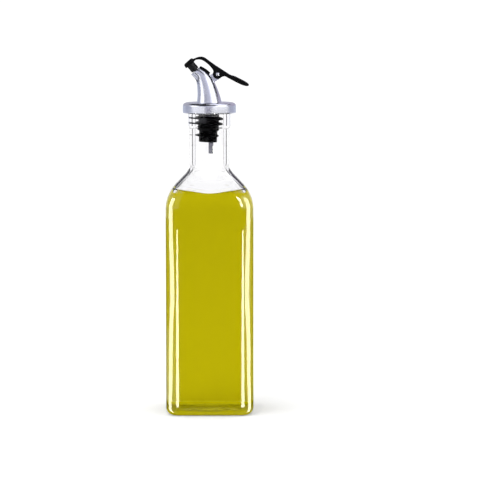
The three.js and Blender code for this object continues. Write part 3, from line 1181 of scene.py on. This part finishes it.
@dataclass
class Pourer(Piece):
    """The silver pourer: collar, spout, the hinge's bracket with its pin, and the stem in the bung."""

    spout: SpoutForm
    collar_radius: float = 18.88
    collar_bottom: float = 213.2
    collar_top: float = 220.9
    collar_sides: int = 192
    # How far the collar's upper edge is rounded, across and down, and how far its side stops short of that.
    rounding: Pair = (3.4, 2.3)
    rounding_steps: int = 16
    side_clear: float = 0.3
    foot_width: float = 2.0
    foot_rounding: float = 0.9
    # The collar's top rises slightly to this radius, and again to the middle.
    crown_radius: float = 12.0
    crown_rises: Pair = (0.1, 0.3)
    recess_radius: float = 15.6
    recess_top: float = 214.9
    stem_radius: float = 4.6
    stem_bottom: float = 201.5
    # How far the stem reaches up into the collar.
    stem_root: float = 1.0
    spout_steps: int = 48
    bore: float = 2.6
    bore_start: float = 0.62
    bore_steps: int = 12
    # How deep the mouth's rim is rounded, and where it has rings, in degrees from outside to inside.
    rim_depth: float = 0.35
    rim_angles: tuple[float, ...] = (20, 45, 70, 90, 110, 135, 160)
    # How far inside the mouth the bore's first ring lies.
    bore_inset: float = 0.4
    lug_radius: float = 2.8
    lug_half: float = 1.5
    # Where the lug's round part starts and ends, in radians.
    lug_turn: Pair = (2.803, -0.55)
    lug_rounding: float = 0.25
    pin_radius: float = 1.1
    pin_half: float = 3.7
    pin_dome: float = 0.35

    def collar(self) -> bpy.types.Object:
        """Turns the collar, with a recess below for the bottle's lip.

        Returns:
            The collar.
        """
        across, down = self.rounding
        rise, middle_rise = self.crown_rises
        side = [
            (self.collar_radius - self.foot_width, self.collar_bottom),
            (self.collar_radius, self.collar_bottom),
            (self.collar_radius, self.collar_top - down - self.side_clear),
        ]
        edge = (self.collar_radius - across, self.collar_top - down)
        outline = [
            (0, self.recess_top),
            (self.recess_radius, self.recess_top),
            (self.recess_radius, self.collar_bottom),
            *softened(side, self.foot_rounding),
            *arc(edge, self.rounding, 0, QUARTER_TURN, self.rounding_steps),
            (self.crown_radius, self.collar_top + rise),
            (0, self.collar_top + middle_rise),
        ]
        return revolved(self.name, outline, self.collar_sides)

    def tube(self) -> bpy.types.Object:
        """Lofts the spout, with a rounded rim and a bore.

        Returns:
            The spout.
        """
        ring = self.spout.ring
        rim = (self.spout.at(1)[-1] - self.bore) / 2
        edge = [
            ring(1, self.bore + rim + rim * math.cos(a), self.rim_depth * math.sin(a) - self.rim_depth)
            for a in map(math.radians, self.rim_angles)
        ]
        bore = [
            ring(1 + (self.bore_start - 1) * i / self.bore_steps, self.bore)
            for i in range(1, self.bore_steps + 1)
        ]
        rings = [
            ring(0, 0.0),
            *(ring(i / self.spout_steps) for i in range(self.spout_steps)),
            ring(1, None, -self.rim_depth),
            *edge,
            ring(1, self.bore, -self.bore_inset),
            *bore,
            ring(self.bore_start, 0.0),
        ]
        return lofted("spout", rings)

    def stem(self) -> bpy.types.Object:
        """Turns the stem that the bung holds.

        Returns:
            The stem.
        """
        top = self.recess_top + self.stem_root
        return cylinder("stem", self.stem_radius, self.stem_bottom, top, sides=48)

    def bracket(self) -> bpy.types.Object:
        """Makes the plate that carries the hinge, from the hinge's axis.

        Returns:
            The plate.
        """
        disc = arc((0, 0), (self.lug_radius, self.lug_radius), *self.lug_turn, steps=24)
        web = [(-6.4, -0.7), (-4.6, -0.5), *disc, (1.9, -3.1), (0.4, -4.0), (-3.2, -6.4)]
        lug = plate("lug", web, -self.lug_half, self.lug_half)
        rounded_edges(lug, self.lug_rounding)
        lug.data.transform(Matrix.Translation(HINGE * MM))
        return lug

    def pin(self) -> bpy.types.Object:
        """Turns the pin across the hinge, with domed ends.

        Returns:
            The pin.
        """
        dome = [
            (self.pin_radius * math.sin(a), self.pin_half - self.pin_dome * (1 - math.cos(a)))
            for a in (1.2, 0.8, 0.4, 0.0)
        ]
        upper = [(self.pin_radius, self.pin_half - self.pin_dome), *dome]
        outline = [*((radius, -height) for radius, height in reversed(upper)), *upper]
        pin = revolved("pin", outline, sides=32)
        pin.data.transform(Matrix.Translation(HINGE * MM) @ Matrix.Rotation(QUARTER_TURN, 4, "X"))
        return pin

    def shape(self) -> bpy.types.Object:
        """Joins the collar, stem, spout, bracket and pin.

        Returns:
            The pourer.
        """
        whole = self.collar()
        for make in (self.stem, self.tube, self.bracket, self.pin):
            combine(whole, Cut.JOIN, make())
        crisp(whole, sharper_than=38)
        return whole


@dataclass
class BackStrip(Piece):
    """The black strip on the spout's back, from the bracket to the mouth."""

    spout: SpoutForm
    width: float = 3.2
    thickness: float = 1.18
    start: float = 0.78
    steps: int = 20
    rounding: float = 0.22

    def shape(self) -> bpy.types.Object:
        """Bends the strip along the spout's back.

        Returns:
            The strip.
        """
        under, over = [], []
        for i in range(self.steps + 1):
            centre, back, _, radius = self.spout.at(self.start + (1 - self.start) * i / self.steps)
            low = centre + back * radius
            high = centre + back * (radius + self.thickness)
            under.append((low.x, low.z))
            over.append((high.x, high.z))
        strip = plate(self.name, [*under, *reversed(over)], -self.width / 2, self.width / 2)
        rounded_edges(strip, self.rounding)
        crisp(strip, sharper_than=50)
        return strip


@dataclass
class Lever(Piece):
    """The black lever: a hood over the seal, an arch, a knuckle on the hinge and a thumb end.

    Its outlines are measured from the hinge's axis, and its hood's heights from the spout's mouth.
    """

    spout: SpoutForm
    half_width: float = 4.5
    outline_steps: int = 40
    arm_softness: float = 1.2
    # The knuckle's radius, and where its round part starts and ends, in radians.
    knuckle: float = 3.35
    knuckle_turn: Pair = (-0.68, -3.66)
    slot_radius: float = 3.25
    slot_turn: Pair = (2.498, 0.0)
    slot_half: float = 1.9
    hole: float = 1.4
    hole_half: float = 6.0
    seal_shift: float = 0.4
    hood_radius: float = 4.0
    hood_rim: float = 5.6
    hood_top: float = 8.6
    hood_rounding: float = 1.4
    # The bead round the hood's rim: how far it stands out, and its heights below and above its slope.
    bead: float = 0.15
    bead_heights: Pair = (0.7, 0.9)
    bead_width: float = 0.5
    bead_rounding: float = 0.2
    socket_radius: float = 3.3
    socket_top: float = 6.9
    # Each groove's ends and half width, and from where to where it is cut, across the lever.
    groove_start: Point = (12.9, -3.5)
    groove_end: Point = (18.6, -6.3)
    groove_half: float = 0.55
    groove_reach: Pair = (3.75, 6.0)
    voxel: float = 0.14
    passes: int = 3
    swell: float = 0.06

    def side_outline(self) -> list[Point]:
        """The lever seen from its side.

        Returns:
            Points of x and z: hood, arch, arm, thumb end, knuckle and the arch's underside.
        """
        over = [
            (-19.4, 8.6), (-18.0, 10.2), (-15.8, 11.3), (-12.7, 12.22), (-9.5, 11.8), (-5.5, 9.0),
            (-1.3, 6.0),
        ]
        under = [
            (-2.91, 1.66), (-3.3, 3.0), (-4.6, 4.8), (-7.0, 7.3), (-10.6, 9.8), (-13.6, 10.4),
            (-16.4, 9.6), (-18.6, 7.2),
        ]
        arm = [
            (-1.3, 6.0), (9.4, -0.9), (12.1, -1.5), (19.6, -5.3), (22.0, -6.9), (22.3, -8.0),
            (20.8, -8.6), (17.2, -7.6), (13.4, -5.8), (7.5, -2.7), (5.0, -1.2), (2.6, -2.11),
        ]
        steps = self.outline_steps
        top = [tuple(catmull_rom(over, i / steps)) for i in range(steps)]
        bottom = [tuple(catmull_rom(under, i / steps)) for i in range(1, steps + 1)]
        knuckle = arc((0, 0), (self.knuckle, self.knuckle), *self.knuckle_turn, steps=28)
        return [*top, *softened(arm, self.arm_softness), *knuckle[1:], *bottom]

    def plan(self) -> bpy.types.Object:
        """The lever's outline seen from above.

        Returns:
            An upright block of that outline.
        """
        side = [
            (-21.5, 2.4), (-17, 2.5), (-11, 2.5), (-5, 3.0), (-3.2, 3.5), (4, 3.5), (7, 3.5), (11, 4.3),
            (19, 4.3), (21.5, 3.7), (22.9, 2.0),
        ]
        outline = [*side, *((x, -y) for x, y in reversed(side))]
        block = plate("plan", outline, low=-40, high=40)
        block.data.transform(Matrix.Rotation(QUARTER_TURN, 4, "X"))
        return block

    def slot_cut(self) -> bpy.types.Object:
        """The slot between the cheeks, open towards the spout for the whole swing.

        Returns:
            A plate that fills the slot.
        """
        ring = (self.slot_radius, self.slot_radius)
        inner = arc((0, 0), ring, *self.slot_turn, steps=24)
        outline = [(-9, 1.9), *inner, (4.8, -3.3), (3, -9), (-9, -9)]
        return plate("slot", outline, -self.slot_half, self.slot_half)

    def hole_cut(self) -> bpy.types.Object:
        """The hole for the pin.

        Returns:
            A cylinder that fills the hole.
        """
        hole = cylinder("hole", self.hole, -self.hole_half, self.hole_half, sides=40)
        hole.data.transform(Matrix.Rotation(QUARTER_TURN, 4, "X"))
        return hole

    def on_mouth(self, piece: bpy.types.Object) -> bpy.types.Object:
        """Moves a turned piece onto the mouth's own axis, measured from the hinge.

        Args:
            piece: The piece, turned about Z.

        Returns:
            The same piece.
        """
        centre, back, along, _ = self.spout.at(1)
        place = centre + back * self.seal_shift - HINGE
        lean = Matrix.Rotation(-math.atan2(-along.x, along.z), 4, "Y")
        piece.data.transform(Matrix.Translation(place * MM) @ lean)
        return piece

    def hood(self) -> bpy.types.Object:
        """Turns the round hood over the seal, with a bead round its rim.

        Returns:
            The hood.
        """
        upright, slope = self.bead_heights
        bead = [
            (self.hood_radius - self.bead_width, self.hood_rim),
            (self.hood_radius + self.bead, self.hood_rim),
            (self.hood_radius + self.bead, self.hood_rim + upright),
            (self.hood_radius, self.hood_rim + slope),
        ]
        size = self.hood_rounding
        edge = (self.hood_radius - size, self.hood_top - size)
        outline = [
            (0, self.hood_rim),
            *softened(bead, self.bead_rounding),
            *arc(edge, (size, size), 0, QUARTER_TURN, steps=8),
            (0, self.hood_top),
        ]
        return self.on_mouth(revolved("hood", outline, sides=64))

    def socket_cut(self) -> bpy.types.Object:
        """The hollow in the hood for the seal's head.

        Returns:
            A cylinder that fills the hollow.
        """
        below = self.hood_rim - 1
        return self.on_mouth(cylinder("socket", self.socket_radius, below, self.socket_top, sides=48))

    def groove_cut(self, sign: int) -> bpy.types.Object:
        """A groove along one side of the thumb end.

        Args:
            sign: The side, -1 or 1.

        Returns:
            A plate that fills the groove.
        """
        start, end = Vector(self.groove_start), Vector(self.groove_end)
        ring = (self.groove_half, self.groove_half)
        run = (end - start).normalized()
        heading = math.atan2(run.y, run.x)
        outline = [
            *arc(self.groove_end, ring, heading - QUARTER_TURN, heading + QUARTER_TURN, steps=8),
            *arc(self.groove_start, ring, heading + QUARTER_TURN, heading + 3 * QUARTER_TURN, steps=8),
        ]
        low, high = sorted(sign * reach for reach in self.groove_reach)
        return plate("groove", outline, low, high)

    def shape(self) -> bpy.types.Object:
        """Cuts the lever from a plate, adds the hood and softens the whole.

        Returns:
            The lever.
        """
        whole = plate(self.name, self.side_outline(), -self.half_width, self.half_width)
        combine(whole, Cut.KEEP, self.plan())
        combine(whole, Cut.TAKE, self.slot_cut())
        combine(whole, Cut.TAKE, self.hole_cut())
        combine(whole, Cut.JOIN, self.hood())
        combine(whole, Cut.TAKE, self.socket_cut())
        for sign in (-1, 1):
            combine(whole, Cut.TAKE, self.groove_cut(sign))
        whole.data.transform(Matrix.Translation(HINGE * MM))
        melted(whole, self.voxel, self.passes, self.swell)
        return whole


@dataclass
class MouthSeal(Piece):
    """The rubber seal that closes the spout's mouth."""

    lever: Lever
    gap: float = 0.3
    plug_radius: float = 1.2
    plug_depth: float = 0.1
    radius: float = 3.0
    waist: float = 2.95
    top: float = 6.6
    rounding: float = 0.3

    def shape(self) -> bpy.types.Object:
        """Turns the seal and sets it on the mouth.

        Returns:
            The seal.
        """
        outline = [
            (0, -self.plug_depth),
            (self.plug_radius, -self.plug_depth),
            (1.5, self.gap),
            (2.7, self.gap),
            (self.radius, 0.8),
            (3.05, 2.7),
            (self.waist, 3.1),
            (self.waist, 3.5),
            (self.radius, 3.9),
            (self.radius, 5.2),
            (self.radius, self.top),
            (0, self.top),
        ]
        seal = self.lever.on_mouth(revolved(self.name, softened(outline, self.rounding), sides=64))
        seal.data.transform(Matrix.Translation(HINGE * MM))
        crisp(seal, sharper_than=60)
        return seal


class Seen(Enum):
    """What shows a panel of the studio."""

    IN_REFLECTIONS = "glossy"
    THROUGH_GLASS = "transmission"


@dataclass
class Panel:
    """A curved panel of the studio that stands upright round the bottle and is seen in one way only."""

    name: str
    start: float
    end: float
    distance: float
    bottom: float
    top: float
    radiance: float
    tint: str = "#FFFFFF"
    # How far each edge is turned at evenly spaced heights, from the bottom to the top, in degrees.
    start_shifts: tuple[float, ...] = (0.0, 0.0)
    end_shifts: tuple[float, ...] = (0.0, 0.0)
    # How much nearer to the bottle its top lies than its bottom.
    depth: float = 0.0
    # The panel's steps: their width in degrees, and their number from bottom to top where an edge is bent.
    step: float = 5.0
    rows: int = 48
    seen: Seen = Seen.IN_REFLECTIONS

    def point(self, along: float, up: float) -> Vector:
        """A point of the panel.

        Args:
            along: How far it is from the start to the end, from 0 to 1.
            up: How far it is from the bottom to the top, from 0 to 1.

        Returns:
            The point.
        """
        start = self.start + catmull_rom([(shift,) for shift in self.start_shifts], up)[0]
        end = self.end + catmull_rom([(shift,) for shift in self.end_shifts], up)[0]
        angle = math.radians(start + (end - start) * along)
        height = self.bottom + (self.top - self.bottom) * up
        reach = self.distance - self.depth * up
        return Vector((reach * math.sin(angle), -reach * math.cos(angle), height))

    def build(self) -> None:
        """Bends the panel round the bottle."""
        across = max(1, round(abs(self.end - self.start) / self.step))
        upward = self.rows if any((*self.start_shifts, *self.end_shifts)) else 1
        build = bmesh.new()
        rows = [
            [build.verts.new(self.point(i / across, j / upward)) for i in range(across + 1)]
            for j in range(upward + 1)
        ]
        for low, high in zip(rows, rows[1:]):
            for i in range(across):
                build.faces.new([low[i], low[i + 1], high[i + 1], high[i]])
        data = bpy.data.meshes.new(self.name)
        build.to_mesh(data)
        build.free()
        data.materials.append(self.material())
        panel = bpy.data.objects.new(self.name, data)
        bpy.context.scene.collection.objects.link(panel)
        panel.visible_camera = False
        panel.visible_diffuse = False
        panel.visible_shadow = False
        panel.visible_glossy = self.seen is Seen.IN_REFLECTIONS
        panel.visible_transmission = self.seen is Seen.THROUGH_GLASS
        panel.visible_volume_scatter = False

    def material(self) -> bpy.types.Material:
        """Makes an even glow of the panel's radiance.

        Returns:
            The material.
        """
        made = bpy.data.materials.new(self.name)
        made.use_nodes = True
        tree = made.node_tree
        tree.nodes.clear()
        light = {"Color": linear(self.tint), "Strength": self.radiance}
        glow = add_node(tree, "ShaderNodeEmission", light)
        add_node(tree, "ShaderNodeOutputMaterial", {"Surface": glow.outputs[0]})
        return made


@dataclass
class Studio:
    """A white floor and sky, soft light from above, and panels for the silver and the glass to mirror.

    The floor and the sky are kept out of reflections, so that only the panels show in them.
    """

    floor_size: float = 6.0
    floor_colour: str = "#FDFDFD"
    floor_roughness: float = 0.9
    sky: float = 1.06
    key_power: float = 7.0
    key_size: float = 1.2
    key_place: Place = (-0.4, -0.5, 1.5)
    key_aim: Place = (0, 0, 0.1)

    def panels(self) -> list[Panel]:
        """The lights and cards round the bottle, at angles from the camera in degrees and sizes in metres.

        Returns:
            The panels.
        """
        far, near, close = 1.1, 0.3, 0.07
        # The far panels' heights. The bung mirrors what lies below the low one, which stays dark.
        low, middle, high, behind = 0.141, 0.3, 1.15, 0.035
        # The strips give the lights on the oil, and the side lights the bands down the body's corners.
        under, strip_top, foot, lip, collar = -0.05, 0.106, -0.0444, 0.187, 0.204
        warm, cool, pale, grey = "#FFFFF0", "#CFD5E6", "#DEDFEE", "#DDDFEA"
        waves = (-9.0, -8.0, -7.1, -2.0, -0.2, 3.7, 9.5, 7.4, 3.2, 0.9, 0.0, 0.0)
        mirrored = tuple(-wave for wave in waves)
        neck = {"bottom": 0.16, "top": 0.205, "seen": Seen.THROUGH_GLASS}
        return [
            Panel("Low card, camera", -20, 11, far, low, middle, 0.95, "#DCDAF0"),
            Panel("Low light, left", -80, -20, far, low, middle, 2.0),
            Panel("Low light, right", 11, 92, far, low, middle, 2.0),
            Panel("Low card, left", -125, -80, far, behind, middle, 0.86, "#C6CBDD"),
            Panel("Low card, back left", -180, -125, far, behind, middle, 1.0, cool),
            Panel("Low card, right", 92, 130, far, behind, middle, 0.95, "#CACDDF"),
            Panel("Low card, back right", 130, 180, far, behind, middle, 1.0, cool),
            Panel("High card, left", -180, -92, far, middle, high, 0.75, "#DCDCE8"),
            Panel("High light, left", -92, -52, far, middle, high, 2.0),
            Panel("High card, camera left", -52, -20, far, middle, high, 0.7, pale),
            Panel("High card, camera", -20, 12, far, middle, high, 0.95, pale),
            Panel("High card, camera right", 12, 27, far, middle, high, 1.4, "#E4E4F2"),
            Panel("High light, right", 27, 77, far, middle, high, 2.0, end_shifts=(4, 4, 10, 19)),
            Panel("High card, right", 96, 180, far, middle, high, 0.8, "#D4CEE2"),
            Panel("Top card, right", 62, 180, far, high, high, 2.0, "#F4F4FC", (-34, 28), depth=1.05),
            Panel("Strip, left", -29, -7, near, under, strip_top, 18.0, warm, (0, 3, 6, 9), (1, 1, 0, -3)),
            Panel("Strip, right", 8, 36, near, under, strip_top, 18.0, warm, (0, 2, 4, 6), (0, -4, -6, -10)),
            Panel("Side light, left", -71, -48, close, foot, lip, 14.0, warm, waves, waves),
            Panel("Side light, right", 48, 71, close, foot, lip, 14.0, warm, mirrored, mirrored),
            Panel("Shoulder light", 21, 30, 0.069, 0.153, lip, 26.0, warm, (0, -5), (0, -5)),
            Panel("Flag, ring", -90, 90, 0.062, 0.19, 0.19, 0.0, depth=0.044),
            Panel("Shoulder light, back", 100, 260, 0.1, 0.146, 0.198, 1.15),
            Panel("Flag, camera", -18.5, 18.5, close, foot, 0.2, 0.0),
            Panel("Tray, left", -125, -38, 0.45, 0.001, 0.001, 0.9, grey, depth=0.375),
            Panel("Spout tray, left", -125, -15, 0.11, collar, collar, 0.9, grey, depth=0.065),
            Panel("Neck card, left", -142, -129, close, radiance=0.2, **neck),
            Panel("Neck card, right", 129, 140, close, radiance=0.12, **neck),
        ]

    def floor(self) -> None:
        """Lays the white floor."""
        half = self.floor_size / 2
        data = bpy.data.meshes.new("Floor")
        corners = [(-half, -half, 0), (half, -half, 0), (half, half, 0), (-half, half, 0)]
        data.from_pydata(corners, [], [(0, 1, 2, 3)])
        floor = bpy.data.objects.new("Floor", data)
        floor.visible_glossy = False
        bpy.context.scene.collection.objects.link(floor)
        made = bpy.data.materials.new("Paper, white")
        made.use_nodes = True
        shader = made.node_tree.nodes["Principled BSDF"]
        shader.inputs["Base Color"].default_value = linear(self.floor_colour)
        shader.inputs["Roughness"].default_value = self.floor_roughness
        shader.inputs["Specular IOR Level"].default_value = 0.0
        data.materials.append(made)

    def light(self) -> None:
        """Hangs the soft light overhead."""
        data = bpy.data.lights.new("Key", "AREA")
        data.shape = "SQUARE"
        data.size = self.key_size
        data.energy = self.key_power
        lamp = bpy.data.objects.new("Key", data)
        lamp.location = self.key_place
        lamp.rotation_euler = (Vector(self.key_aim) - lamp.location).to_track_quat("-Z", "Y").to_euler()
        lamp.visible_camera = False
        lamp.visible_glossy = False
        bpy.context.scene.collection.objects.link(lamp)

    def world(self) -> None:
        """Makes the sky an even white."""
        world = bpy.data.worlds.new("Studio")
        world.use_nodes = True
        background = world.node_tree.nodes["Background"]
        background.inputs["Color"].default_value = linear(WHITE)
        background.inputs["Strength"].default_value = self.sky
        world.cycles_visibility.glossy = False
        bpy.context.scene.world = world
        bpy.context.scene.view_settings.view_transform = "Standard"

    def build(self) -> None:
        """Sets the studio up."""
        self.world()
        self.floor()
        self.light()
        for panel in self.panels():
            panel.build()


@dataclass
class PhotoCamera:
    """The camera at the photograph's viewing angle, in metres."""

    place: Place = (0.0, -1.85, 0.3163)
    aim: Place = (0.0289, 0.0, 0.1174)
    lens: float = 187.3
    sensor: float = 36.0

    def build(self) -> None:
        """Sets the camera up."""
        data = bpy.data.cameras.new("Camera")
        data.lens = self.lens
        data.sensor_width = self.sensor
        camera = bpy.data.objects.new("Camera", data)
        camera.location = self.place
        direction = Vector(self.aim) - Vector(self.place)
        camera.rotation_euler = direction.to_track_quat("-Z", "Y").to_euler()
        bpy.context.scene.collection.objects.link(camera)
        bpy.context.scene.camera = camera


def main() -> None:
    """Builds the camera, the studio and every piece of the dispenser."""
    logging.basicConfig(level=logging.INFO, format="%(message)s")
    PhotoCamera().build()
    Studio().build()
    bottle = BottleForm()
    spout = SpoutForm()
    still, moving = Body.DISPENSER, Body.LEVER
    lever = Lever("Lever", ("lever",), moving, Slot.BLACK, BLACK_PP, spout)
    pieces = [
        Bottle("Bottle", ("bottle",), still, Slot.GLASS, FLINT_GLASS, bottle),
        Oil("Oil", ("oil",), still, Slot.OIL, FILTERED_OIL, bottle),
        Bung("Bung", ("bung",), still, Slot.RUBBER, BLACK_RUBBER),
        BreatherTube("Breather_tube", ("breather_tube",), still, Slot.TUBE, GREY_TUBE),
        Pourer("Pourer", ("pourer",), still, Slot.SILVER, PLATED_ABS, spout),
        BackStrip("Back_strip", ("back_strip",), still, Slot.BLACK, BLACK_PP, spout),
        lever,
        MouthSeal("Mouth_seal", ("mouth_seal",), moving, Slot.RUBBER, SEAL_RUBBER, lever),
    ]
    for piece in pieces:
        piece.build()


if __name__ == "__main__":
    main()
